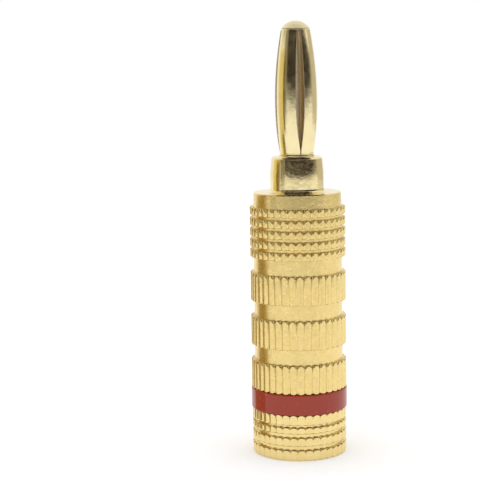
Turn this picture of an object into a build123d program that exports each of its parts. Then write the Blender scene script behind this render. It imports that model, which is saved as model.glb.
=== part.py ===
from build123d import *
from math import cos, degrees, radians, sin
import os

# A gold-plated banana plug for a 4 mm loudspeaker socket. It stands on its rear face.
# The origin is the centre of that face, +Z runs along the plug to its nose, and -Y is the front.
# All sizes are millimetres. A diameter is named _D, and a running gap is the radial clearance.

# Grip: diameter over the knurled rows of the barrel, and how far cap and ring differ from it in radius
GRIP_D = 9.95
CAP_INSET = 0.05
RING_PROUD = 0.05

# Knurling: one wheel cuts the notches of the barrel and of the cap, so they line up
TEETH = 38
NOTCH_ANGLE = -82.8
NOTCH_DEPTH = 0.2
NOTCH_WIDTH = 0.35

# Rear cap: knurled rows with slots between them, named from the rear face up
CAP_SLOT_DEPTH = 0.33
CAP_ROW_HEIGHTS = (1.1, 0.9, 0.67, 1.07)
CAP_SLOT_WIDTHS = (0.42, 0.4, 0.23)
CAP_NOTCH_DEPTH = 0.14
CAP_NOTCH_WIDTH = 0.26
CAP_REAR_EDGE = 0.25

# Hollow stem of the cap: seat for the colour ring, thread, and a flared mouth that is a share of the wall
STEM_WALL = 1.25
CABLE_MOUTH = 0.4
THREAD_HEIGHT = 0.5
THREAD_LENGTH = 7.3
FLARE_SHARE = 0.48

# Colour ring, held between cap and barrel
RING_HEIGHT = 2.12

# Barrel: three fluted bands, five short knurled rows and a plain neck, from the rear up
GROOVE_DEPTH = 0.37
BARREL_WALL = 0.805
BANDS = 3
BAND_LENGTH = 3.0
BAND_GAP = 1.6
ROWS = 5
ROW_HEIGHT = 0.8
ROW_SLOT = 0.3
NECK_LENGTH = 1.5
NECK_EDGE = 0.1
CHAMBER_ROOM = 1.8

# Contact collar: spigot pressed through the barrel, clamping cone behind, boss for the cage in front
COLLAR_D = 5.6
COLLAR_HEIGHT = 3.65
COLLAR_TAPER_LENGTH = 1.6
COLLAR_TAPER = 0.16
COLLAR_EDGE = 0.18
COLLAR_FOOT = 0.3
CONE_ROOM = 0.8
CONE_NOSE = 0.5
CONE_GAP = 0.42
LAND_STEP = 0.08
LAND_HEIGHT = 0.15
BOSS_WALL = 0.29
BOSS_HEIGHT = 0.9

# Nose pin: domed head over the cage, shank down the middle, tail pressed into the collar
SHANK_D = 2.3
HEAD_STEP = 0.3
DOME_HEIGHT = 0.8
TAIL_LENGTH = 6.0

# Spring cage: rolled sheet with four bowed leaves between a foot ring and a crown
LEAVES = 4
SLIT_ANGLE = -77.3
SHEET = 0.28
CAGE_LENGTH = 12.86
CAGE_FOOT_HEIGHT = 0.25
CAGE_BULGE_D = 4.36
BULGE_HEIGHT = 5.5
CROWN_STEP = 0.45
CROWN_ROLL = 0.66
CROWN_EDGE = 0.17
OUTER_BENDS = 2
INNER_BENDS = 2
SLIT_FOOT_WIDTH = 0.1
SLIT_BULGE_WIDTH = 0.7
SLIT_CROWN_WIDTH = 0.3
SLIT_LIP = 0.12
SEAM = 0.08

# Clearances
RUNNING_GAP = 0.05
FACE_GAP = 0.02
CAGE_PLAY = 0.03

# Diameters that follow: the thread is a plain cylinder at half its height on both sides
cap_d = GRIP_D - 2 * CAP_INSET
ring_d = GRIP_D + 2 * RING_PROUD
neck_d = GRIP_D - 2 * GROOVE_DEPTH
barrel_bore_d = neck_d - 2 * BARREL_WALL
stem_d = barrel_bore_d - 2 * RUNNING_GAP
seat_d = stem_d + THREAD_HEIGHT
cable_bore_d = stem_d - 2 * STEM_WALL
cone_d = barrel_bore_d - 2 * CONE_ROOM
spigot_d = COLLAR_D + 2 * COLLAR_FOOT
boss_d = SHANK_D + 2 * BOSS_WALL
cage_foot_d = boss_d + 2 * RUNNING_GAP + 2 * SHEET
crown_d = SHANK_D + 2 * CROWN_STEP
crown_bore_d = SHANK_D + 2 * RUNNING_GAP
head_d = SHANK_D + 2 * HEAD_STEP

# Heights that follow
cap_front = sum(CAP_ROW_HEIGHTS) + sum(CAP_SLOT_WIDTHS)
barrel_rear = cap_front + RING_HEIGHT + 2 * FACE_GAP
rows_start = barrel_rear + BANDS * (BAND_LENGTH + BAND_GAP)
barrel_front = rows_start + ROWS * ROW_HEIGHT + (ROWS - 1) * ROW_SLOT + NECK_LENGTH
stem_end = barrel_rear + THREAD_LENGTH
chamber_end = stem_end + CHAMBER_ROOM
collar_top = barrel_front + COLLAR_HEIGHT
cage_foot = collar_top + LAND_HEIGHT + CAGE_PLAY
boss_top = cage_foot + BOSS_HEIGHT
tail_end = boss_top - TAIL_LENGTH
cage_top = cage_foot + CAGE_LENGTH
head_foot = cage_top + CAGE_PLAY


def polar(radius, angle):
    """Point at a radius and an angle in degrees about the plug's axis."""
    return (radius * cos(radians(angle)), radius * sin(radians(angle)), 0)


def turned(*edges):
    """Solid turned about the axis from a closed outline of edges drawn as (radius, height)."""
    return revolve(Plane.XZ * make_face(edges), Axis.Z)


def turned_corners(*points):
    """Solid turned about the axis from straight lines between (radius, height) points."""
    return turned(*Polyline(*dict.fromkeys(points), close=True).edges())


def cylinder(diameter, bottom, top):
    """Plain cylinder on the axis between two heights."""
    return Pos(0, 0, bottom) * extrude(Circle(diameter / 2), top - bottom)


def bore(diameter, bottom, top, flare_bottom=0.0, flare_top=0.0):
    """Cutter for a round hole whose two ends may open out at 45 degrees."""
    radius = diameter / 2
    return turned_corners(
        (0, bottom),
        (radius + flare_bottom, bottom),
        (radius, bottom + flare_bottom),
        (radius, top - flare_top),
        (radius + flare_top, top),
        (0, top),
    )


def knurled_outline(diameter, depth, width):
    """Outline of a disc with V notches all round its rim."""
    radius = diameter / 2
    pitch = 360 / TEETH
    half_notch = degrees(width / diameter)
    corners = []
    for tooth in range(TEETH):
        notch = NOTCH_ANGLE + tooth * pitch
        corners.append(polar(radius - depth, notch))
        corners.append(polar(radius, notch + half_notch))
        corners.append(polar(radius, notch + pitch - half_notch))
    return make_face(Polyline(*corners, close=True).edges())


def knurled_disc(diameter, depth, width, bottom, top):
    """Knurled disc between two heights."""
    return Pos(0, 0, bottom) * extrude(knurled_outline(diameter, depth, width), top - bottom)


def make_rear_cap():
    """Knurled cap, turned in one piece with its hollow threaded stem."""
    rear = knurled_outline(cap_d - 2 * CAP_REAR_EDGE, 0, CAP_NOTCH_WIDTH)
    full = Pos(0, 0, CAP_REAR_EDGE) * knurled_outline(cap_d, CAP_NOTCH_DEPTH, CAP_NOTCH_WIDTH)
    cap = loft([rear, full], ruled=True)
    cap += cylinder(cap_d - 2 * CAP_SLOT_DEPTH, CAP_REAR_EDGE, cap_front)
    top = 0
    for height, slot in zip(CAP_ROW_HEIGHTS, CAP_SLOT_WIDTHS + (0,)):
        bottom = max(top, CAP_REAR_EDGE)
        cap += knurled_disc(cap_d, CAP_NOTCH_DEPTH, CAP_NOTCH_WIDTH, bottom, top + height)
        top += height + slot
    cap += cylinder(seat_d, cap_front, barrel_rear - 2 * FACE_GAP)
    cap += cylinder(stem_d, cap_front, stem_end)
    return cap - bore(cable_bore_d, 0, stem_end, CABLE_MOUTH, FLARE_SHARE * STEM_WALL)


def make_polarity_ring():
    """Plain plastic ring that runs on the seat of the stem."""
    bottom = cap_front + FACE_GAP
    ring = cylinder(ring_d, bottom, bottom + RING_HEIGHT)
    return ring - cylinder(seat_d + 2 * RUNNING_GAP, bottom, bottom + RING_HEIGHT)


def make_barrel():
    """Grip barrel: fluted bands and knurled rows on a neck, bored from both ends."""
    barrel = turned_corners(
        (0, barrel_rear),
        (neck_d / 2, barrel_rear),
        (neck_d / 2, barrel_front - NECK_EDGE),
        (neck_d / 2 - NECK_EDGE, barrel_front),
        (0, barrel_front),
    )
    for band in range(BANDS):
        bottom = barrel_rear + band * (BAND_LENGTH + BAND_GAP)
        barrel += knurled_disc(GRIP_D, NOTCH_DEPTH, NOTCH_WIDTH, bottom, bottom + BAND_LENGTH)
    for row in range(ROWS):
        bottom = rows_start + row * (ROW_HEIGHT + ROW_SLOT)
        barrel += knurled_disc(GRIP_D, NOTCH_DEPTH, NOTCH_WIDTH, bottom, bottom + ROW_HEIGHT)
    barrel -= bore(barrel_bore_d, barrel_rear, chamber_end, THREAD_HEIGHT / 2)
    return barrel - cylinder(spigot_d, chamber_end, barrel_front)


def make_contact_collar():
    """Polished collar in front of the barrel, one piece with the spigot that carries the current."""
    radius = COLLAR_D / 2
    tip_radius = cable_bore_d / 2 - CONE_NOSE
    cone_tip = stem_end - FLARE_SHARE * STEM_WALL + CONE_GAP - CONE_NOSE
    cone = turned_corners(
        (0, cone_tip),
        (tip_radius, cone_tip),
        (cone_d / 2, cone_tip + cone_d / 2 - tip_radius),
        (cone_d / 2, chamber_end),
        (0, chamber_end),
    )
    spigot = cylinder(spigot_d, chamber_end, barrel_front)
    head = turned_corners(
        (0, barrel_front),
        (spigot_d / 2, barrel_front),
        (radius, barrel_front + COLLAR_FOOT),
        (radius, collar_top - COLLAR_TAPER_LENGTH),
        (radius - COLLAR_TAPER, collar_top - COLLAR_EDGE),
        (radius - COLLAR_TAPER - COLLAR_EDGE, collar_top),
        (0, collar_top),
    )
    land = cylinder(cage_foot_d + 2 * LAND_STEP, collar_top, collar_top + LAND_HEIGHT)
    boss = cylinder(boss_d, collar_top, boss_top)
    collar = cone + spigot + head + land + boss
    return collar - cylinder(SHANK_D, tail_end - CAGE_PLAY, boss_top)


def cage_side(inset, bends):
    """Corners of the bowed side from foot to crown: it falls off as a parabola either way from the bulge."""
    bulge = cage_foot + BULGE_HEIGHT
    foot = (cage_foot_d, cage_foot + CAGE_FOOT_HEIGHT)
    crown = (crown_d, cage_top - CROWN_ROLL)
    corners = []
    for bend in range(-bends, bends + 1):
        share = abs(bend) / bends
        diameter, height = foot if bend < 0 else crown
        fall = (CAGE_BULGE_D - diameter) / 2 * share**2
        corners.append((CAGE_BULGE_D / 2 - fall - inset, bulge + share * (height - bulge)))
    return corners


def make_spring_cage():
    """Rolled sheet cage: foot ring, four bowed leaves, crown that turns in under the head."""
    outside = cage_side(0, OUTER_BENDS)
    inside = cage_side(SHEET, INNER_BENDS)
    roll = []
    for angle in (45, 90):
        turn_in = CROWN_EDGE * (1 - cos(radians(angle)))
        rise = CROWN_ROLL * sin(radians(angle))
        roll.append((crown_d / 2 - turn_in, cage_top - CROWN_ROLL + rise))
    cage = turned_corners(
        (cage_foot_d / 2 - SHEET, cage_foot),
        (cage_foot_d / 2, cage_foot),
        *outside,
        *roll,
        (crown_bore_d / 2, cage_top),
        (crown_bore_d / 2, cage_top - SHEET),
        *reversed(inside),
    )
    for leaf in range(LEAVES):
        cage -= Rot(0, 0, SLIT_ANGLE + leaf * 360 / LEAVES) * slit_cutter()
    return cage - Rot(0, 0, SLIT_ANGLE) * seam_cutter()


def slit_cutter():
    """Lens-shaped slit, pointed at the foot and round at the crown, cut outwards along +X."""
    foot = cage_foot + CAGE_FOOT_HEIGHT
    bulge = cage_foot + BULGE_HEIGHT
    crown = cage_top - SLIT_LIP - SLIT_CROWN_WIDTH / 2
    sides = []
    for side in (-1, 1):
        low = (side * SLIT_FOOT_WIDTH / 2, foot)
        wide = (side * SLIT_BULGE_WIDTH / 2, bulge)
        high = (side * SLIT_CROWN_WIDTH / 2, crown)
        sides.append(ThreePointArc(low, wide, high))
    left, right = sides
    top = ThreePointArc(left @ 1, (0, crown + SLIT_CROWN_WIDTH / 2), right @ 1)
    bottom = Line(left @ 0, right @ 0)
    return extrude(Plane.YZ * make_face([left, top, right, bottom]), CAGE_BULGE_D)


def seam_cutter():
    """Narrow gap where the rolled sheet's two ends meet, the whole height of the cage."""
    return Pos(CAGE_BULGE_D / 2, 0, (cage_foot + cage_top) / 2) * Box(CAGE_BULGE_D, SEAM, 2 * CAGE_LENGTH)


def make_nose_pin():
    """Pin with a domed head: it passes through the cage and holds in the collar."""
    tip = head_foot + DOME_HEIGHT
    head = turned(
        Line((0, head_foot), (head_d / 2, head_foot)),
        TangentArc((0, tip), (head_d / 2, head_foot), tangent=(1, 0)),
        Line((0, tip), (0, head_foot)),
    )
    return head + cylinder(SHANK_D, tail_end, head_foot)


os.makedirs("parts", exist_ok=True)
export_step(make_rear_cap(), "parts/rear_cap.step")
export_step(make_polarity_ring(), "parts/polarity_ring.step")
export_step(make_barrel(), "parts/barrel.step")
export_step(make_contact_collar(), "parts/contact_collar.step")
export_step(make_spring_cage(), "parts/spring_cage.step")
export_step(make_nose_pin(), "parts/nose_pin.step")
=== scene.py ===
# %% [markdown]
# # A gold-plated banana plug
# The plug stands on its rear face. From there up it has a knurled cap, a red ring, a grip barrel,
# a polished collar, a sprung cage and a domed pin. The CAD model fixes where every piece sits, so
# the first step is to load it. Each piece below is then turned or formed again in the same place,
# with the fine edges, threads and finishes that the plain solids leave out.

# %% Load the frame
import math

import bmesh
import bpy
from mathutils import Matrix, Vector


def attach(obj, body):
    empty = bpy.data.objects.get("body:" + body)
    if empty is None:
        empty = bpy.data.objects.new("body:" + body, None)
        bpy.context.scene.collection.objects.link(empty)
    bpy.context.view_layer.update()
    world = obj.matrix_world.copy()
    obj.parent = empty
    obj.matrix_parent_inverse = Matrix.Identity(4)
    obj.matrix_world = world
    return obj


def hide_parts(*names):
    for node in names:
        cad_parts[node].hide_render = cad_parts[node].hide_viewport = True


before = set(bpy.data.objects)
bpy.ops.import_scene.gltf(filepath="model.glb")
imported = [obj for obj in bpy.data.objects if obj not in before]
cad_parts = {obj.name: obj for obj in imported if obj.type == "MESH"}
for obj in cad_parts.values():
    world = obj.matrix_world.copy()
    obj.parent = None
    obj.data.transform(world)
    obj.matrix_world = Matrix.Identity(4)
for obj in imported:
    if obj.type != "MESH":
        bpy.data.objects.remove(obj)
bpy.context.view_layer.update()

# %% [markdown]
# ## The camera
# The plug was seen from slightly above, from a hand's breadth or two away. A camera has a place, a
# turn, a tilt and a lens. Four numbers are easier to think in than a rotation matrix: how far it is
# turned left, how far it looks down, how far it leans, and the focal length on a 36 mm sensor. The
# matrix is put together from them, so each can be adjusted by itself.

# %% Set up the camera
CAMERA_PLACE = (0, -0.148, 0.04126)
TURN, TILT, LEAN = 2.328, 7.25, -0.895
LENS_MM, SENSOR_MM = 107.25, 36

camera_data = bpy.data.cameras.new("camera")
camera_data.lens = LENS_MM
camera_data.sensor_width = SENSOR_MM
camera_data.clip_start = 0.005
camera = bpy.data.objects.new("camera", camera_data)
camera.matrix_world = (
    Matrix.Translation(CAMERA_PLACE)
    @ Matrix.Rotation(math.radians(TURN), 4, "Z")
    @ Matrix.Rotation(math.radians(90 - TILT), 4, "X")
    @ Matrix.Rotation(math.radians(LEAN), 4, "Z")
)
bpy.context.scene.collection.objects.link(camera)
bpy.context.scene.camera = camera
print("camera at", tuple(round(v, 4) for v in camera.matrix_world.translation))

# %% [markdown]
# ## Rings on a lathe
# Nearly all of this plug is turned on a lathe, so a helper that stacks rings of points about the
# axis makes most of it. Screwing a profile round with a modifier would be quicker, but then the
# teeth and the thread would have to be cut afterwards with booleans. With rings, the radius may
# change from point to point round the circle, and teeth and threads come for free. A plain ring
# has three points to a tooth, which is enough for a smooth circle. A toothed one has nine, closer
# together at the notch, and the skin between the two kinds joins three points to one.

# %% Helpers for rings
MM = 0.001
TEETH = 38
FIRST_NOTCH = math.radians(-82.8)
TOOTH_STEPS = (-1, -0.83, -0.67, -0.5, -0.18, 0.18, 0.5, 0.67, 0.83)
PLAIN_STEPS = (-1, -1 / 3, 1 / 3)


def angles_round(steps):
    """Angles round the circle, with each step's place across its tooth, from -1 to 1."""
    half = math.pi / TEETH
    return [
        (FIRST_NOTCH + (2 * tooth + 1 + step) * half, step)
        for tooth in range(TEETH)
        for step in steps
    ]


def new_point(bm, radius, angle, height):
    """Point at a radius, an angle and a height in millimetres about the plug's axis."""
    return bm.verts.new(
        (radius * math.cos(angle) * MM, radius * math.sin(angle) * MM, height * MM)
    )


def skin(bm, lower, upper):
    """Faces between two rings, of which one may have a whole number of times more points."""
    if len(lower) < len(upper):
        return skin(bm, upper, lower)
    times = len(lower) // len(upper)
    for i, vert in enumerate(upper):
        after = upper[(i + 1) % len(upper)]
        run = [lower[(i * times + k) % len(lower)] for k in range(times + 1)]
        if times == 1:
            bm.faces.new((run[0], run[1], after, vert))
            continue
        middle = times // 2
        for k in range(times):
            bm.faces.new((run[k], run[k + 1], vert if k < middle else after))
        bm.faces.new((run[middle], after, vert))


def rings(bm, angles, profile, shape):
    """Stack rings along a profile of (radius, height, share). shape gives each point's radius."""
    made = []
    for radius, height, share in profile:
        ring = [
            new_point(bm, shape(radius, height, share, angle, step), angle, height)
            for angle, step in angles
        ]
        if made:
            skin(bm, made[-1], ring)
        made.append(ring)
    return made


def plain(radius, height, share, angle, step):
    """Shape of a plain turned surface."""
    return radius


TOOTH_ANGLES = angles_round(TOOTH_STEPS)
PLAIN_ANGLES = angles_round(PLAIN_STEPS)
print("points to a plain ring:", len(PLAIN_ANGLES), "and to a toothed one:", len(TOOTH_ANGLES))

# %% [markdown]
# ## Softened corners
# No machined corner is truly sharp, and a tiny round catches the thin line of light that makes
# metal look real. A Bevel modifier could do this, but it would treat every tooth edge alike. Here
# each corner of a profile carries its own radius, and a small curve replaces it. One more point is
# left just outside each curve, so the flat faces beside it stay flat under smooth shading.

# %% Helper that rounds a profile
MOST_OF_SIDE = 0.42
OUTSIDE_CURVE = 1.18


def softened(corners, bends=2, closed=False):
    """Round each corner (radius, height, share, rounding) of a profile by its own rounding."""
    points = []
    last = len(corners) - 1
    for i, corner in enumerate(corners):
        here = Vector(corner[:3])
        rounding = corner[3] if len(corner) > 3 else 0
        if not rounding or (not closed and i in (0, last)):
            points.append(here)
            continue
        before = Vector(corners[i - 1][:3]) - here
        after = Vector(corners[(i + 1) % len(corners)][:3]) - here
        back = before / before.xy.length
        on = after / after.xy.length
        turn = math.acos(max(-1, min(1, back.xy.normalized().dot(on.xy.normalized()))))
        reach = rounding / math.tan(turn / 2)
        reach = min(reach, MOST_OF_SIDE * before.xy.length, MOST_OF_SIDE * after.xy.length)
        points.append(here + back * reach * OUTSIDE_CURVE)
        first, second = here + back * reach, here + on * reach
        for bend in range(bends + 1):
            t = bend / bends
            points.append((1 - t) ** 2 * first + 2 * t * (1 - t) * here + t**2 * second)
        points.append(here + on * reach * OUTSIDE_CURVE)
    return [tuple(point) for point in points]


def finished_piece(name, bm, node, body, finishes):
    """Turn a mesh in the making into a smooth-shaded piece that stands for its CAD node."""
    bmesh.ops.recalc_face_normals(bm, faces=bm.faces)
    mesh = bpy.data.meshes.new(name)
    bm.to_mesh(mesh)
    bm.free()
    for face in mesh.polygons:
        face.use_smooth = True
    for finish in finishes:
        mesh.materials.append(finish.material)
    piece = bpy.data.objects.new(name, mesh)
    bpy.context.scene.collection.objects.link(piece)
    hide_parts(node)
    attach(piece, body)
    print(name, "has", len(mesh.polygons), "faces")
    return piece


print("a softened square corner:", len(softened([(1, 0, 0), (2, 0, 0, 0.1), (2, 1, 0)])), "points")

# %% [markdown]
# ## Gold finishes
# The plating is the same gold all over, but the pieces under it were finished in different ways.
# The barrel was blasted with fine beads before plating, so it is satin, with a fine grain. Cap and
# collar were polished. The cage is bright rolled sheet, with rough edges where it was sheared.
# Metal has no colour of its own but tints what it mirrors, so these use the Principled shader, and
# differ in how metallic and rough they are, in grain and a little in tint. One helper mixes them
# all: each tint, roughness and bump wanders with a noise whose grain is given in millimetres.

# %% Helper that mixes a finish
class Finish:
    """A material in the making. Its noises lie in the piece's own space."""

    def __init__(self, name, metal):
        self.material = bpy.data.materials.new(name)
        self.material.use_nodes = True
        self.nodes = self.material.node_tree.nodes
        self.links = self.material.node_tree.links
        self.shader = self.nodes["Principled BSDF"]
        self.shader.inputs["Metallic"].default_value = metal
        self.place = self.nodes.new("ShaderNodeTexCoord")
        self.last_bump = None

    def noise(self, grain_mm, detail):
        """Noise whose grains are about grain_mm across."""
        node = self.nodes.new("ShaderNodeTexNoise")
        node.inputs["Scale"].default_value = 1 / (grain_mm * MM)
        node.inputs["Detail"].default_value = detail
        node.inputs["Roughness"].default_value = 0.55
        self.links.new(self.place.outputs["Object"], node.inputs["Vector"])
        return node.outputs["Fac"]

    def spread(self, value, low, high, between=(0.3, 0.7)):
        """Stretch the part of a noise between two values to a range from low to high."""
        node = self.nodes.new("ShaderNodeMapRange")
        node.inputs["From Min"].default_value = between[0]
        node.inputs["From Max"].default_value = between[1]
        node.inputs["To Min"].default_value = low
        node.inputs["To Max"].default_value = high
        self.links.new(value, node.inputs["Value"])
        return node.outputs["Result"]

    def tint(self, grain_mm, first, second, detail=3.0, between=(0.3, 0.7)):
        """Base colour that wanders from the first tint to the second."""
        node = self.nodes.new("ShaderNodeMix")
        node.data_type = "RGBA"
        node.inputs["A"].default_value = (*first, 1)
        node.inputs["B"].default_value = (*second, 1)
        share = self.spread(self.noise(grain_mm, detail), 0, 1, between)
        self.links.new(share, node.inputs["Factor"])
        self.links.new(node.outputs["Result"], self.shader.inputs["Base Color"])

    def roughness(self, grain_mm, low, high):
        """Roughness that wanders from low to high."""
        value = self.spread(self.noise(grain_mm, 3.0), low, high)
        self.links.new(value, self.shader.inputs["Roughness"])

    def bump(self, grain_mm, depth_mm, detail=3.0, between=None):
        """Bump of about depth_mm, on top of the bumps that were given before it."""
        height = self.noise(grain_mm, detail)
        if between:
            height = self.spread(height, 0, 1, between)
        node = self.nodes.new("ShaderNodeBump")
        node.inputs["Strength"].default_value = 1.0
        node.inputs["Distance"].default_value = depth_mm * MM
        self.links.new(height, node.inputs["Height"])
        if self.last_bump is not None:
            self.links.new(self.last_bump, node.inputs["Normal"])
        self.last_bump = node.outputs["Normal"]
        self.links.new(self.last_bump, self.shader.inputs["Normal"])


print("a grain of 0.1 mm needs a noise scale of", round(1 / (0.1 * MM)))

# %% [markdown]
# ### Satin gold, for the barrel
# Bead blasting leaves countless shallow dents a few hundredths of a millimetre across, and some
# larger pits. The dents are too small to model, so a fine noise goes into the bump, and a coarser
# one makes the pits. The tint wanders a little too, because thin plating over a dented surface
# never looks even.

# %% Satin gold
satin_gold = Finish("blasted satin gold plate", metal=1.0)
satin_gold.tint(0.35, (0.83, 0.635, 0.25), (0.905, 0.71, 0.31))
satin_gold.roughness(0.6, 0.24, 0.34)
satin_gold.bump(0.09, 0.004)
satin_gold.bump(0.3, 0.012, detail=1.5)
satin_gold.bump(0.25, 0.006, detail=1.0, between=(0.26, 0.34))
print("made", satin_gold.material.name)

# %% [markdown]
# ### Polished gold, for cap, collar and dome
# A polished turned part mirrors the room, with some haze. Low roughness gives the mirror, a slow
# noise in the roughness gives the haze of handling, and a slow ripple bends what it mirrors. The
# cap is the crispest. The pin's dome is the dullest: it wears against every socket, and scatters
# light nearly as matt paint does, so it is far rougher and only half metallic.

# %% Polished gold
def polish(name, first, second, haze, ripple_mm, metal=1.0):
    """Polished gold between two tints, with its haze and the polishing wheel's ripples."""
    finish = Finish(name, metal)
    finish.tint(0.9, first, second)
    finish.roughness(0.5, haze, haze + 0.1)
    finish.bump(0.12, 0.0012, detail=2.0)
    finish.bump(0.45, ripple_mm, detail=2.0)
    return finish


polished_gold = polish(
    "polished gold plate", (0.845, 0.70, 0.365), (0.895, 0.755, 0.42), haze=0.13, ripple_mm=0.012
)
cap_gold = polish(
    "polished gold of the cap", (0.84, 0.655, 0.28), (0.90, 0.72, 0.335), haze=0.12, ripple_mm=0.003
)
dome_gold = polish(
    "hazy gold of the dome",
    (0.87, 0.74, 0.43),
    (0.92, 0.795, 0.49),
    haze=0.48,
    ripple_mm=0.004,
    metal=0.45,
)
print("made", polished_gold.material.name, dome_gold.material.name, "and", cap_gold.material.name)

# %% [markdown]
# ### Spring gold, its cut edges, and the wire
# The cage is plated sheet that was rolled after polishing, so it is bright outside and inside.
# Its sheared edges are torn and rough, and scatter light nearly as matt paint does, so their
# material is only a little metallic. The drawn wire of the pin's shank shows dull through the slits
# and gets its own finish as well. Its dullness is the wire's own, but its deeper orange is painted
# bounce light: the colour that light takes going to and fro between the gold walls of the slits.

# %% Spring gold
spring_gold = Finish("bright rolled gold plate", metal=1.0)
spring_gold.tint(1.2, (0.855, 0.73, 0.41), (0.895, 0.775, 0.455))
spring_gold.roughness(0.8, 0.14, 0.24)
spring_gold.bump(0.12, 0.0015, detail=2.0)
spring_gold.bump(0.7, 0.010, detail=2.0)

cut_edge = Finish("sheared edge of the sheet", metal=0.2)
cut_edge.tint(0.1, (0.20, 0.15, 0.08), (0.66, 0.54, 0.34))
cut_edge.roughness(0.15, 0.3, 0.5)
cut_edge.bump(0.08, 0.012)

drawn_gold_and_bounce = Finish("drawn gold wire with painted bounce light", metal=0.5)
# The dull finish is the wire's own; the deep orange tint is painted bounce light from the cage's
# gold.
drawn_gold_and_bounce.tint(0.3, (0.95, 0.66, 0.28), (1.0, 0.80, 0.42))
drawn_gold_and_bounce.roughness(0.2, 0.4, 0.6)
drawn_gold_and_bounce.bump(0.1, 0.008)
print("made", spring_gold.material.name, cut_edge.material.name, "and", drawn_gold_and_bounce.material.name)

# %% [markdown]
# ### Red plastic, for the ring
# The ring is moulded and glossy, in a dull brick red. Plastic isn't a metal: its gloss is white
# and lies over its own colour. A few pale specks of dust or flash are on it: the very tops of a
# noise, picked out by stretching only a narrow part of it.

# %% Brick-red plastic
red_plastic = Finish("glossy brick-red plastic", metal=0.0)
red_plastic.shader.inputs["IOR"].default_value = 1.46
red_plastic.tint(
    0.3, (0.33, 0.036, 0.017), (0.44, 0.12, 0.085), detail=1.0, between=(0.715, 0.765)
)
red_plastic.roughness(0.4, 0.1, 0.18)
red_plastic.bump(0.5, 0.002, detail=1.0)
print("made", red_plastic.material.name)

# %% [markdown]
# ## The teeth
# Cap and barrel are knurled: a toothed wheel pressed 38 soft ribs round them, with shallow notches
# between, and slots turned afterwards divide the ribs into rows. A power curve across each tooth
# gives the rib: nearly flat in the middle, and falling faster at both sides. Where a row ends, the
# notches open out into small triangles and the teeth end in round tips, which makes the rows look
# like strings of beads. A slanted flat laid into each notch, wider towards the row's end, makes
# the triangles. It cuts deep at the upper end and much less at the lower one.

# %% Shape of the teeth
CAP_ROWS = [(0, 1.1), (1.52, 2.42), (2.82, 3.49), (3.72, 4.79)]
BARREL_ROWS = [(6.95, 9.95), (11.55, 14.55), (16.15, 19.15)]
BARREL_ROWS += [(20.75 + 1.1 * row, 21.55 + 1.1 * row) for row in range(5)]
FLAT_STEEPNESS = 4
LOWER_CUT = 0.2


def toothed(rows, depth, flatness, tip, tip_width, tip_depth):
    """Shape of teeth for rows between given heights. A larger flatness gives flatter crests.

    The last tip of a row's height is cut by a flat that is tip_depth deep and takes tip_width of
    each half tooth.
    """

    def shape(radius, height, share, angle, step):
        bottom, top = min(rows, key=lambda row: abs(2 * height - row[0] - row[1]))
        drop = depth * abs(step) ** flatness
        for inside, cut in ((top - height, tip_depth), (height - bottom, LOWER_CUT * tip_depth)):
            left = 1 - max(0.0, inside) / tip
            if left > 0:
                beside = max(0.0, left - (1 - abs(step)) / tip_width)
                wall = FLAT_STEEPNESS * tip_depth * beside
                drop = max(drop, min(depth + cut * left, drop + wall))
        return radius - share * drop

    return shape


FLOOR_ROUND, LOWER_ROUND, UPPER_ROUND = 0.03, 0.12, 0.025
ABOVE_FOOT = 0.3


def row_profile(crest_r, floor_r, bottom, top, tip):
    """Profile over one row of teeth, from the floor below it to the floor above it."""
    points = [(floor_r, bottom, 0, FLOOR_ROUND), (crest_r, bottom, 1, LOWER_ROUND)]
    points.append((crest_r, bottom + ABOVE_FOOT, 1))
    points += [(crest_r, top - part * tip, 1) for part in (1, 0.75, 0.5, 0.25)]
    points += [(crest_r, top, 1, UPPER_ROUND), (floor_r, top, 0, FLOOR_ROUND)]
    return points


print("rows of teeth:", len(CAP_ROWS), "on the cap and", len(BARREL_ROWS), "on the barrel")

# %% [markdown]
# ## The thread
# The cap's stem carries a fine right-hand thread of 0.75 mm pitch, and the barrel's bore has the
# same one inside. A helix is a wave along the axis that moves up by one pitch a turn, so the radius
# of a point follows from its height and its angle. Both sides use the same wave, 0.05 mm apart, so
# that the full threads stay clear of each other when the cap unscrews. Each one fades out at its
# ends into a plain cylinder at half the thread's height, and there the other one's crests cross it
# by up to 0.175 mm. A real screw avoids that: its stem thins down to the thread's root there, and
# its bore opens out beyond the crests.

# %% Shape of the thread
PITCH = 0.75
THREAD_HALF = 0.225
FLANK = 1.35
ROWS_TO_A_PITCH = 8


def threaded(radius, height, share, angle, step):
    """Radius on a threaded length: share is 1 on the full thread and falls to 0 at its ends."""
    turns = (height - PITCH * angle / (2 * math.pi)) / PITCH
    wave = 4 * abs(turns - math.floor(turns) - 0.5) - 1
    return radius + share * THREAD_HALF * max(-1, min(1, FLANK * wave))


def thread_rows(radius, start, end, fade):
    """Profile of a threaded length, with the thread faded in and out."""
    count = round((end - start) / PITCH * ROWS_TO_A_PITCH)
    rows = []
    for i in range(count + 1):
        height = start + (end - start) * i / count
        rows.append((radius, height, min(1, (height - start) / fade, (end - height) / fade)))
    return rows


print("rows on a 7 mm thread:", len(thread_rows(3.75, 0, 7, 0.5)))

# %% [markdown]
# ## The knurled rear cap
# On the real plug this is the nut that closes it: a short knurled cap with four rows of teeth,
# turned in one piece with a hollow threaded stem that reaches up into the barrel. So one closed
# mesh makes it, of two runs of rings. The toothed one goes up the outside. The plain one goes on
# from there up the ring's seat and the thread, round the flared mouth and down the cable's bore.
# Two skins join them, on the cap's top and on its rear face.

# %% Rear cap
CAP_R, SLOT_R, CAP_TIP = 4.925, 4.595, 0.16
CAP_TOP = CAP_ROWS[-1][1]
SEAT_R, STEM_R, CABLE_R = 4.0, 3.75, 2.5
cap_teeth = toothed(CAP_ROWS, depth=0.1, flatness=3, tip=CAP_TIP, tip_width=0.45, tip_depth=0.15)

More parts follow.
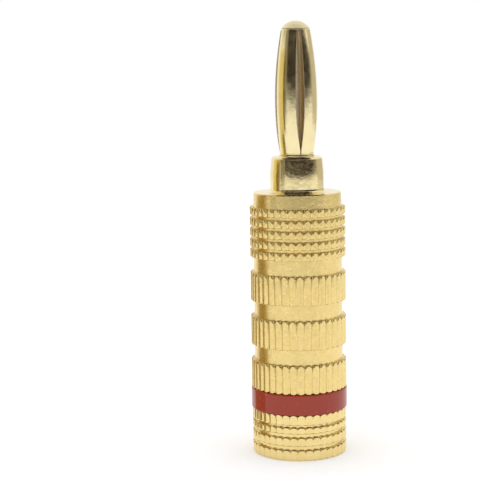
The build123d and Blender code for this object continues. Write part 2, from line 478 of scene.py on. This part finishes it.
outside = []
for bottom, top in CAP_ROWS:
    outside += row_profile(CAP_R, SLOT_R, bottom, top, CAP_TIP)
outside[:3] = [(3.2, 0, 0), (CAP_R, 0, 1, 0.22)]      # the rear face and its larger round
outside[-1] = (4.3, CAP_TOP, 0)

seat = softened(
    [
        (4.2, CAP_TOP, 0),
        (SEAT_R, CAP_TOP, 0, 0.05),
        (SEAT_R, 6.9, 0, 0.08),
        (3.5, 6.9, 0, 0.08),
        (3.5, 7.5, 0),
    ]
)
mouth_and_bore = softened(
    [
        (STEM_R, 13.9, 0),
        (3.45, 14.25, 0, 0.04),
        (3.1, 14.25, 0, 0.05),
        (CABLE_R, 13.65, 0, 0.05),
        (CABLE_R, 0.4, 0, 0.04),
        (2.9, 0, 0, 0.03),
        (3.1, 0, 0),
    ]
)
bm = bmesh.new()
cap_rim = rings(bm, TOOTH_ANGLES, softened(outside), cap_teeth)
stem = seat + thread_rows(STEM_R, 7.6, 13.85, 0.4) + mouth_and_bore
cap_stem = rings(bm, PLAIN_ANGLES, stem, threaded)
skin(bm, cap_rim[-1], cap_stem[0])
skin(bm, cap_rim[0], cap_stem[-1])
knurled_cap = finished_piece("knurled_cap", bm, "rear_cap", "rear_cap", [cap_gold])

# %% [markdown]
# ## The red ring
# A plain plastic ring shows the polarity of the wire. It runs loosely on the cap's stem, between
# cap and barrel. It is a small tube whose corners are well rounded by moulding, the outer ones more
# than the inner ones, so its profile is a closed one and needs no teeth.

# %% Polarity ring
RING_BORE_R, RING_R = 4.05, 5.025
RING_FOOT, RING_TOP = 4.81, 6.93
ring_profile = softened(
    [
        (RING_BORE_R, RING_FOOT, 0, 0.06),
        (RING_R, RING_FOOT, 0, 0.14),
        (RING_R, RING_TOP, 0, 0.14),
        (RING_BORE_R, RING_TOP, 0, 0.06),
    ],
    bends=5,
    closed=True,
)
bm = bmesh.new()
ring_loops = rings(bm, PLAIN_ANGLES, ring_profile, plain)
skin(bm, ring_loops[-1], ring_loops[0])
finished_piece("red_ring", bm, "polarity_ring", "polarity_ring", [red_plastic])

# %% [markdown]
# ## The grip barrel
# The barrel is what fingers turn. Three fluted bands and five short rows of teeth stand proud of a
# plain neck, all cut by the same knurling wheel, so their notches line up. The profile goes once
# up the outside, and a second one comes down the inside with the thread. The front face and its
# small chamfer were faced off after the blasting, so they are bright like the cap.

# %% Barrel
GRIP_R, NECK_R, GRIP_TIP = 4.975, 4.605, 0.3
BARREL_REAR, BARREL_FRONT, CHAMFER = BARREL_ROWS[0][0], 27.45, 0.1
SPIGOT_R, THREAD_BORE_R, CHAMBER_END = 3.1, 3.8, 16.05
grip_teeth = toothed(
    BARREL_ROWS, depth=0.17, flatness=2.9, tip=GRIP_TIP, tip_width=0.5, tip_depth=0.18
)

barrel_profile = []
for bottom, top in BARREL_ROWS:
    barrel_profile += row_profile(GRIP_R, NECK_R, bottom, top, GRIP_TIP)
barrel_profile[0] = (4.3, BARREL_REAR, 0)
barrel_profile += [
    (NECK_R - 0.05, 27.35, 0, 0.04),                  # the last neck tapers a little
    (NECK_R - 0.13, BARREL_FRONT, 0, 0.04),
    (4.2, BARREL_FRONT, 0),
]
inside = softened(
    [
        (3.9, BARREL_FRONT, 0),
        (SPIGOT_R, BARREL_FRONT, 0, 0.03),
        (SPIGOT_R, CHAMBER_END, 0, 0.03),
        (THREAD_BORE_R, CHAMBER_END, 0, 0.05),
        (THREAD_BORE_R, 15.3, 0),
    ]
)
inside += reversed(thread_rows(THREAD_BORE_R, 7.35, 15.2, 0.3))
inside += softened(
    [
        (THREAD_BORE_R, 7.3, 0),
        (THREAD_BORE_R, 7.2, 0, 0.04),
        (4.05, BARREL_REAR, 0, 0.03),
        (4.2, BARREL_REAR, 0),
    ]
)
bm = bmesh.new()
barrel_skin = rings(bm, TOOTH_ANGLES, softened(barrel_profile), grip_teeth)
barrel_bore = rings(bm, PLAIN_ANGLES, inside, threaded)
skin(bm, barrel_skin[-1], barrel_bore[0])
skin(bm, barrel_skin[0], barrel_bore[-1])
for face in bm.faces:
    if face.calc_center_median().z > (BARREL_FRONT - CHAMFER + 0.002) * MM:
        face.material_index = 1
finished_piece("grip_barrel", bm, "barrel", "plug_body", [satin_gold, cap_gold])

# %% [markdown]
# ## The contact collar
# The collar carries the current. It is pressed through the barrel's front wall, ends behind it in
# a cone that clamps the wire's strands, and holds the pin in front. What shows is a polished
# cylinder with a small flare at its foot, a slight taper to its top, and a thin land for the cage.
# The taper starts with a round of 14 mm radius, because a sharper one would break the reflection.

# %% Contact collar
SHANK_R, BOSS_R, COLLAR_R, LAND_R = 1.15, 1.44, 2.8, 1.85
COLLAR_TOP, LAND_TOP, BOSS_TOP = 31.1, 31.25, 32.18
collar_profile = softened(
    [
        (SHANK_R, 26.15, 0),
        (0.3, 26.15, 0),
        (0.3, 13.0, 0),
        (2.0, 13.57, 0, 0.05),
        (3.0, 14.57, 0, 0.08),
        (3.0, CHAMBER_END, 0, 0.03),
        (SPIGOT_R, CHAMBER_END, 0, 0.02),
        (SPIGOT_R, BARREL_FRONT, 0),
        (3.08, 27.47, 0, 0.02),
        (2.9, 27.53, 0, 0.08),
        (2.82, 27.66, 0, 0.15),
        (COLLAR_R, 27.82, 0, 0.2),
        (COLLAR_R, 29.2, 0, 14),
        (2.65, 30.9, 0, 0.12),
        (2.46, COLLAR_TOP, 0, 0.1),
        (LAND_R, COLLAR_TOP, 0, 0.03),
        (LAND_R, LAND_TOP, 0, 0.03),
        (BOSS_R, LAND_TOP, 0, 0.02),
        (BOSS_R, BOSS_TOP, 0, 0.03),
        (SHANK_R, BOSS_TOP, 0),
    ],
    bends=4,
)
bm = bmesh.new()
collar_loops = rings(bm, PLAIN_ANGLES, collar_profile, plain)
skin(bm, collar_loops[-1], collar_loops[0])
finished_piece(
    "polished_collar", bm, "contact_collar", "plug_body", [polished_gold]
)

# %% [markdown]
# ## The spring cage
# The cage is a strip of springy sheet, slit, bulged and rolled into a tube. It makes the contact in
# the socket. Four slits run up it, each a thin pointed lens with a round top, and one of them is
# also the seam where the strip's ends meet. Cutting slits with booleans leaves ragged shading on
# so thin a sheet. Instead the sheet is laid out in rows and columns whose columns give way to the
# slit. The first step is only numbers: how wide a slit is open at a height, how far the sheet bows
# out, and the rows of points up its outer and its inner skin.

# %% Sheet of the cage
SHEET = 0.28
CAGE_FOOT, CAGE_TOP, BULGE = 31.28, 44.14, 36.78
BULGE_R, FOOT_BORE_R, FOOT_R = 2.18, 1.49, 1.77
LEAVES, FIRST_SLIT = 4, -76.5
SLITS = [math.radians(FIRST_SLIT + 360 / LEAVES * slit) for slit in range(LEAVES)]
SLIT_FOOT, SLIT_CROWN, SLIT_TOP_R = 31.5, 43.87, 0.15
SLIT_HALF, SEAM_HALF, NARROWING = 0.35, 0.04, 0.2
LOWER_BOW, LOWER_LENGTH = 0.41, 5.25
UPPER_BOW, UPPER_LENGTH = 0.58, 6.7


def slit_half(slit, height):
    """Half the width of a slit's opening at a height."""
    seam = SEAM_HALF if slit == 0 else 0.0
    if height <= SLIT_FOOT or height >= SLIT_CROWN + SLIT_TOP_R:
        return seam
    if height > SLIT_CROWN:
        return max(seam, math.sqrt(max(0.0, SLIT_TOP_R**2 - (height - SLIT_CROWN) ** 2)))
    if height < BULGE:
        rise = (height - SLIT_FOOT) / (BULGE - SLIT_FOOT)
        return max(seam, SLIT_HALF * (1 - (1 - rise) ** 2))
    share = (height - BULGE) / (SLIT_CROWN - BULGE)
    return max(seam, SLIT_HALF - NARROWING * share**2)


def side_radius(height):
    """Outer radius of the bowed side: a parabola either way from the bulge."""
    if height < BULGE:
        return BULGE_R - LOWER_BOW * min(1, (BULGE - height) / LOWER_LENGTH) ** 2
    return BULGE_R - UPPER_BOW * ((height - BULGE) / UPPER_LENGTH) ** 2


def sheet_rows():
    """Pairs of outer and inner (radius, height) points, from the foot up to the crown's lip."""
    rows = [((FOOT_R - 0.03, CAGE_FOOT), (FOOT_BORE_R, CAGE_FOOT))]
    rows += [((FOOT_R, height), (FOOT_BORE_R, height)) for height in (31.32, 31.45)]
    heights = [31.5, 31.54, 31.6, 31.7, 31.85] + [32.05 + 0.24 * i for i in range(47)] + [43.42]
    rows += [
        ((side_radius(height), height), (side_radius(height) - SHEET, height))
        for height in heights
    ]
    steps = 12
    for i in range(steps + 1):                        # the crown leans in
        share = i / steps
        outer = (1.6 - 0.096 * share, 43.48 + 0.55 * share)
        inner = (1.32 - 0.1 * share, 43.48 + 0.36 * share)
        rows.append((outer, inner))
    bends = 5
    for i in range(1, bends + 1):                     # and turns over in a small round
        t = math.pi / 2 * i / bends
        outer = (1.43 + 0.074 * math.cos(t), 44.03 + 0.11 * math.sin(t))
        inner = (1.22 - 0.02 * i / bends, 43.84 + 0.02 * i / bends)
        rows.append((outer, inner))
    rows.append(((1.41, CAGE_TOP), (1.2, 43.87)))
    rows.append(((1.22, CAGE_TOP), (1.2, 43.88)))
    return rows


CAGE_ROWS = sheet_rows()
LAST_ROW = len(CAGE_ROWS) - 1
print("rows of the sheet:", len(CAGE_ROWS), "widest slit:", 2 * slit_half(1, BULGE), "mm")

# %% [markdown]
# ### The sheet's two skins and its sheared walls
# Between two slits lies a leaf, 26 columns wide. Its two skins are joined by walls only where a gap
# is open. Shears leave one wall of a slit rolled over, so that wall leans into the gap and shows
# through it. A narrow strip between skin and wall rounds the edge. Both skins go by the height of
# the outer one, its level, so that a slit ends in both at the same row. A point that two leaves
# share is made once and looked up after that, which keeps the mesh closed.

# %% Points of the cage
COLUMNS, EDGE, LEAN_SHARE, ROLL_OVER = 26, 0.025, 0.85, 0.6
bm = bmesh.new()
known = {}


def cut_half(slit, height, side, column):
    """Half width at one wall of a slit, with the lean of the wall that the shears rolled over."""
    half = slit_half(slit, height)
    if column != COLUMNS:
        return half
    if side == "inner":
        return half - LEAN_SHARE * max(0.0, half - SEAM_HALF)
    return half + ROLL_OVER * max(0.0, half - SEAM_HALF)


def of_row(row, side):
    """Radius and height of a row's point on one side of the sheet, of the other, and the level."""
    outer, inner = CAGE_ROWS[row]
    here, other = (outer, inner) if side == "outer" else (inner, outer)
    return here, other, outer[1]


def known_point(key, radius, angle, height):
    """Point that is made at its first use and looked up after that."""
    if key not in known:
        known[key] = new_point(bm, radius, angle, height)
    return known[key]


def sheet_point(side, row, leaf, column):
    """Point of one skin, shared with the next leaf where the slit is closed."""
    (radius, height), _, level = of_row(row, side)
    following = (leaf + 1) % LEAVES
    slit = leaf if column == 0 else following
    key = (side, row, leaf, column)
    if column in (0, COLUMNS) and slit_half(slit, level) == 0:
        key = (side, row, "closed", slit)
    first, last = cut_half(leaf, level, side, 0), cut_half(following, level, side, COLUMNS)
    start = SLITS[leaf] + (first + (EDGE if first else 0)) / radius
    end = SLITS[leaf] + 2 * math.pi / LEAVES - (last + (EDGE if last else 0)) / radius
    return known_point(key, radius, start + (end - start) * column / COLUMNS, height)


def wall_point(side, row, leaf, column):
    """Point on the sheared wall of a slit, one small edge round below the skin."""
    (radius, height), other, level = of_row(row, side)
    slit = leaf if column == 0 else (leaf + 1) % LEAVES
    if slit_half(slit, level) == 0:
        return sheet_point(side, row, leaf, column)
    inward = Vector((other[0] - radius, other[1] - height)).normalized() * EDGE
    radius, height = radius + inward.x, height + inward.y
    half = cut_half(slit, level, side, column)
    angle = SLITS[slit] + (half if column == 0 else -half) / radius
    return known_point(("wall", side, row, leaf, column), radius, angle, height)


def through_sheet(row, leaf, column):
    """The four points through the sheet at a leaf's edge, from the outer skin to the inner one."""
    return [
        sheet_point("outer", row, leaf, column),
        wall_point("outer", row, leaf, column),
        wall_point("inner", row, leaf, column),
        sheet_point("inner", row, leaf, column),
    ]


print("a leaf is", COLUMNS, "columns wide and the edge rounds are", EDGE, "mm")

# %% [markdown]
# ### Closing the cage
# Now the points are joined leaf by leaf: both skins, the rims at foot and crown, and the walls,
# which get the sheared finish. Every edge must then have exactly two faces, which is counted.

# %% Faces of the cage
def face_of(points, material_index=0):
    """Face through the points that differ, or none where fewer than three do."""
    different = list(dict.fromkeys(points))
    if len(different) > 2 and bm.faces.get(different) is None:
        bm.faces.new(different).material_index = material_index


for leaf in range(LEAVES):
    for side in ("outer", "inner"):
        for row in range(LAST_ROW):
            for column in range(COLUMNS):
                corners = ((0, 0), (0, 1), (1, 1), (1, 0))
                face_of([sheet_point(side, row + a, leaf, column + b) for a, b in corners])
    for row in (0, LAST_ROW):
        for column in range(COLUMNS):
            corners = (("outer", 0), ("outer", 1), ("inner", 1), ("inner", 0))
            face_of([sheet_point(side, row, leaf, column + b) for side, b in corners])
    for column in (0, COLUMNS):
        slit = leaf if column == 0 else (leaf + 1) % LEAVES
        for row in range(LAST_ROW):
            lower, upper = through_sheet(row, leaf, column), through_sheet(row + 1, leaf, column)
            if any(slit_half(slit, CAGE_ROWS[row + a][0][1]) > 0 for a in (0, 1)):
                for k in range(3):
                    face_of([lower[k], lower[k + 1], upper[k + 1], upper[k]], 1)
        for row in (0, LAST_ROW):
            face_of(through_sheet(row, leaf, column), 1)
print("open edges on the cage:", sum(len(edge.link_faces) != 2 for edge in bm.edges))
finished_piece(
    "sprung_cage", bm, "spring_cage", "spring_cage", [spring_gold, cut_edge]
)

# %% [markdown]
# ## The nose pin
# A pin with a domed head closes the nose. Its shank runs down the middle of the cage, keeps the
# leaves from being crushed, and is pressed into the collar. The dome is one arc that meets the
# axis squarely, and a tiny pip from the lathe is left at its very tip. Below the head the pin is
# drawn wire, so those faces get that finish: dull as drawn wire is, and orange with painted bounce
# light from the gold round it.

# %% Nose pin
DOME_R, DOME_TOP, HEAD_FOOT = 1.714, 44.97, 44.17
TAIL_END, PIP_HEIGHT = 26.18, 44.955
CENTRE_R, DOME_SPAN, DOME_STEPS = 0.02, 1.44, 19
pin_profile = [(CENTRE_R, TAIL_END, 0), (0.9, TAIL_END, 0)]
pin_profile += [(SHANK_R, height, 0) for height in (26.4, 30, 36, 44.1, 44.15)]
pin_profile += [
    (1.17, HEAD_FOOT, 0),
    (1.4, HEAD_FOOT, 0),
    (1.43, 44.18, 0),
    (1.45, 44.2, 0),
]
for i in range(1, DOME_STEPS):
    radius = DOME_SPAN * (1 - i / DOME_STEPS) + CENTRE_R
    pin_profile.append((radius, DOME_TOP - DOME_R + math.sqrt(DOME_R**2 - radius**2), 0))
pin_profile += [(0.075, 44.966, 0), (0.055, PIP_HEIGHT, 0), (CENTRE_R, PIP_HEIGHT, 0)]

bm = bmesh.new()
pin_loops = rings(bm, PLAIN_ANGLES, pin_profile, plain)
for loop, height in ((pin_loops[0], TAIL_END), (pin_loops[-1], PIP_HEIGHT)):
    centre = bm.verts.new((0, 0, height * MM))
    for i, vert in enumerate(loop):
        bm.faces.new((vert, loop[(i + 1) % len(loop)], centre))
for face in bm.faces:
    if face.calc_center_median().z < (HEAD_FOOT - 0.01) * MM:
        face.material_index = 1
finished_piece("domed_pin", bm, "nose_pin", "plug_body", [dome_gold, drawn_gold_and_bounce])

# %% [markdown]
# ## The floor
# Polished metal is a picture of the room, so the room is part of its finish. It starts with a round
# pale floor. A plain white one would be grey where the light falls off, so the floor also glows a
# little for the camera and for mirrors, but not for the soft light that it sends up to the plug.
# It is seen as white wherever nothing shades it, and keeps the plug's soft shadow. The plug stands
# on its cap, so the floor is tied to the cap and goes down with it as it unscrews.

# %% Floor
def seen_directly(nodes, links):
    """Value that is 1 for rays from the camera, mirrors and glass, and 0 for soft light."""
    path = nodes.new("ShaderNodeLightPath")
    seen = path.outputs["Is Camera Ray"]
    for ray in ("Is Glossy Ray", "Is Transmission Ray"):
        either = nodes.new("ShaderNodeMath")
        either.operation = "MAXIMUM"
        links.new(seen, either.inputs[0])
        links.new(path.outputs[ray], either.inputs[1])
        seen = either.outputs["Value"]
    return seen


def stage_sheet(name, points, faces, material):
    """Part of the stage from a list of corners and faces."""
    mesh = bpy.data.meshes.new(name)
    mesh.from_pydata(points, [], faces)
    mesh.materials.append(material)
    sheet = bpy.data.objects.new(name, mesh)
    bpy.context.scene.collection.objects.link(sheet)
    return sheet


FLOOR_COLOUR, FLOOR_GLOW = (0.9, 0.9, 0.9, 1), 0.2
FLOOR_R, FLOOR_CORNERS = 0.36, 96

floor_paint = bpy.data.materials.new("pale floor paint")
floor_paint.use_nodes = True
nodes, links = floor_paint.node_tree.nodes, floor_paint.node_tree.links
nodes.clear()
output = nodes.new("ShaderNodeOutputMaterial")
matt = nodes.new("ShaderNodeBsdfDiffuse")
matt.inputs["Color"].default_value = FLOOR_COLOUR
glow = nodes.new("ShaderNodeEmission")
lift = nodes.new("ShaderNodeMath")
lift.operation = "MULTIPLY"
lift.inputs[1].default_value = FLOOR_GLOW
both = nodes.new("ShaderNodeAddShader")
links.new(seen_directly(nodes, links), lift.inputs[0])
links.new(lift.outputs["Value"], glow.inputs["Strength"])
links.new(matt.outputs["BSDF"], both.inputs[0])
links.new(glow.outputs["Emission"], both.inputs[1])
links.new(both.outputs["Shader"], output.inputs["Surface"])

round_angles = [2 * math.pi * i / FLOOR_CORNERS for i in range(FLOOR_CORNERS)]
rim = [(FLOOR_R * math.cos(a), FLOOR_R * math.sin(a), 0) for a in round_angles]
floor = stage_sheet("floor", rim, [tuple(range(FLOOR_CORNERS))], floor_paint)
floor.parent = knurled_cap
print("floor radius:", FLOOR_R, "m")

# %% [markdown]
# ## Paper cards for the mirrors
# In an all-white room polished gold looks like cream paint, so a photographer stands cards round
# it. A large dark card, bent about the plug well in front of it, gives the dark patches that make
# the metal read as metal. Its corners are rounded off, because the patches have soft ends. Grey
# and pale ones beside it dim the edges, and a dark one overhead draws the thin dark lines on the
# upward faces. The cards are seen by mirrors only, so they neither show in the picture nor shade
# the plug or the floor.

# %% Cards
def card_material(name, colour):
    """Matt paper of one colour."""
    material = bpy.data.materials.new(name)
    material.use_nodes = True
    shader = material.node_tree.nodes["Principled BSDF"]
    shader.inputs["Base Color"].default_value = (*colour, 1)
    shader.inputs["Roughness"].default_value = 1.0
    shader.inputs["Specular IOR Level"].default_value = 0.0
    return material


def card(name, points, faces, material):
    """Part of the stage that only mirrors see."""
    sheet = stage_sheet(name, points, faces, material)
    sheet.visible_camera = sheet.visible_shadow = sheet.visible_diffuse = False
    return sheet


def curved_card(name, radius, first, last, bottom, top, material, lift=0.0, fall=0.0):
    """Upright card bent about the plug's axis. Angles are in degrees from the front, to the right.

    The lower edge rises by lift towards both ends, and the upper one falls by fall towards the
    right end, so that the corners are rounded off.
    """
    count = 32
    points = []
    for i in range(count + 1):
        angle = math.radians(-90 + first + (last - first) * i / count)
        across = 2 * i / count - 1
        for height in (bottom + lift * abs(across) ** 3, top - fall * max(0.0, across) ** 2):
            points.append((radius * math.cos(angle), radius * math.sin(angle), height))
    faces = [(2 * i, 2 * i + 2, 2 * i + 3, 2 * i + 1) for i in range(count)]
    return card(name, points, faces, material)


dark_paper = card_material("dark paper", (0.028, 0.02, 0.014))
grey_paper = card_material("grey paper", (0.3, 0.27, 0.2))
pale_paper = card_material("pale grey paper", (0.62, 0.59, 0.52))
curved_card("dark_card", 0.37, -56, 88, 0.018, 0.235, dark_paper, lift=0.022, fall=0.115)
curved_card("grey_card_left", 0.3, -76, -54, 0.0, 0.19, grey_paper)
curved_card("grey_card_right", 0.37, 88, 100, 0.03, 0.11, grey_paper)
curved_card("pale_card_right", 0.3, 98, 148, 0.0, 0.135, pale_paper)
curved_card("pale_card_left", 0.3, -120, -76, 0.11, 0.2, pale_paper)

LEFT, RIGHT, NEAR, FAR, OVERHEAD = -0.3, 0.3, -0.26, 0.08, 0.34
overhead_corners = [
    (LEFT, NEAR, OVERHEAD),
    (RIGHT, NEAR, OVERHEAD),
    (RIGHT, FAR, OVERHEAD),
    (LEFT, FAR, OVERHEAD),
]
card("overhead_card", overhead_corners, [(0, 1, 2, 3)], dark_paper)

# %% [markdown]
# ## Small warm cards
# Down the left side of the plug runs a narrow band of deep gold with a brown edge: gold that
# mirrors other gold standing close beside it. Small upright cards that glow in gold and brown, just
# over a centimetre to the left, make that band. They are divided by height, because barrel, collar
# and cage differ in radius and each would mirror one card at another place.

# %% Warm cards
CARD_X = -0.0125


def warm_card(name, place, width, bottom, top, colour):
    """Small upright card at the plug's left, centred at a place from front to back."""
    front, back = place - width / 2, place + width / 2
    points = [
        (CARD_X, front, bottom),
        (CARD_X, back, bottom),
        (CARD_X, back, top),
        (CARD_X, front, top),
    ]
    material = bpy.data.materials.new(name)
    material.use_nodes = True
    shader = material.node_tree.nodes["Principled BSDF"]
    shader.inputs["Base Color"].default_value = (0, 0, 0, 1)
    shader.inputs["Specular IOR Level"].default_value = 0.0
    shader.inputs["Emission Color"].default_value = (*colour, 1)
    shader.inputs["Emission Strength"].default_value = 1.0
    card(name, points, [(0, 1, 2, 3)], material)


BARREL_HIGH, COLLAR_HIGH, CAGE_HIGH = 0.0267, 0.0313, 0.044
warm_card("warm_card_low", 0.0006, 0.0086, 0.0, BARREL_HIGH, (0.36, 0.25, 0.07))
warm_card("warm_card_middle", 0.0024, 0.0046, BARREL_HIGH, COLLAR_HIGH, (0.84, 0.70, 0.28))
warm_card("brown_edge_middle", -0.0020, 0.0042, BARREL_HIGH, COLLAR_HIGH, (0.24, 0.18, 0.06))
warm_card("warm_card_high", -0.0008, 0.0072, COLLAR_HIGH, CAGE_HIGH, (0.80, 0.66, 0.30))
warm_card("brown_edge_high", -0.0056, 0.0024, COLLAR_HIGH, CAGE_HIGH, (0.10, 0.07, 0.02))
print("warm cards stand", -1000 * CARD_X, "mm to the left of the axis")

# %% [markdown]
# ## The white room
# The light comes from a plain white world, as in a light tent, and there are no lamps: a lamp would
# leave a hard white spot on every polished piece. A strength of 1 lights the gold at a plain level,
# at which its colours render about as they are written. The Standard view keeps them so.

# %% White world
WORLD_STRENGTH = 1.0
world = bpy.data.worlds.new("white room")
bpy.context.scene.world = world
world.use_nodes = True
background = world.node_tree.nodes["Background"]
background.inputs["Color"].default_value = (1, 1, 1, 1)
background.inputs["Strength"].default_value = WORLD_STRENGTH
bpy.context.scene.view_settings.view_transform = "Standard"
print("world strength:", WORLD_STRENGTH, "view:", bpy.context.scene.view_settings.view_transform)
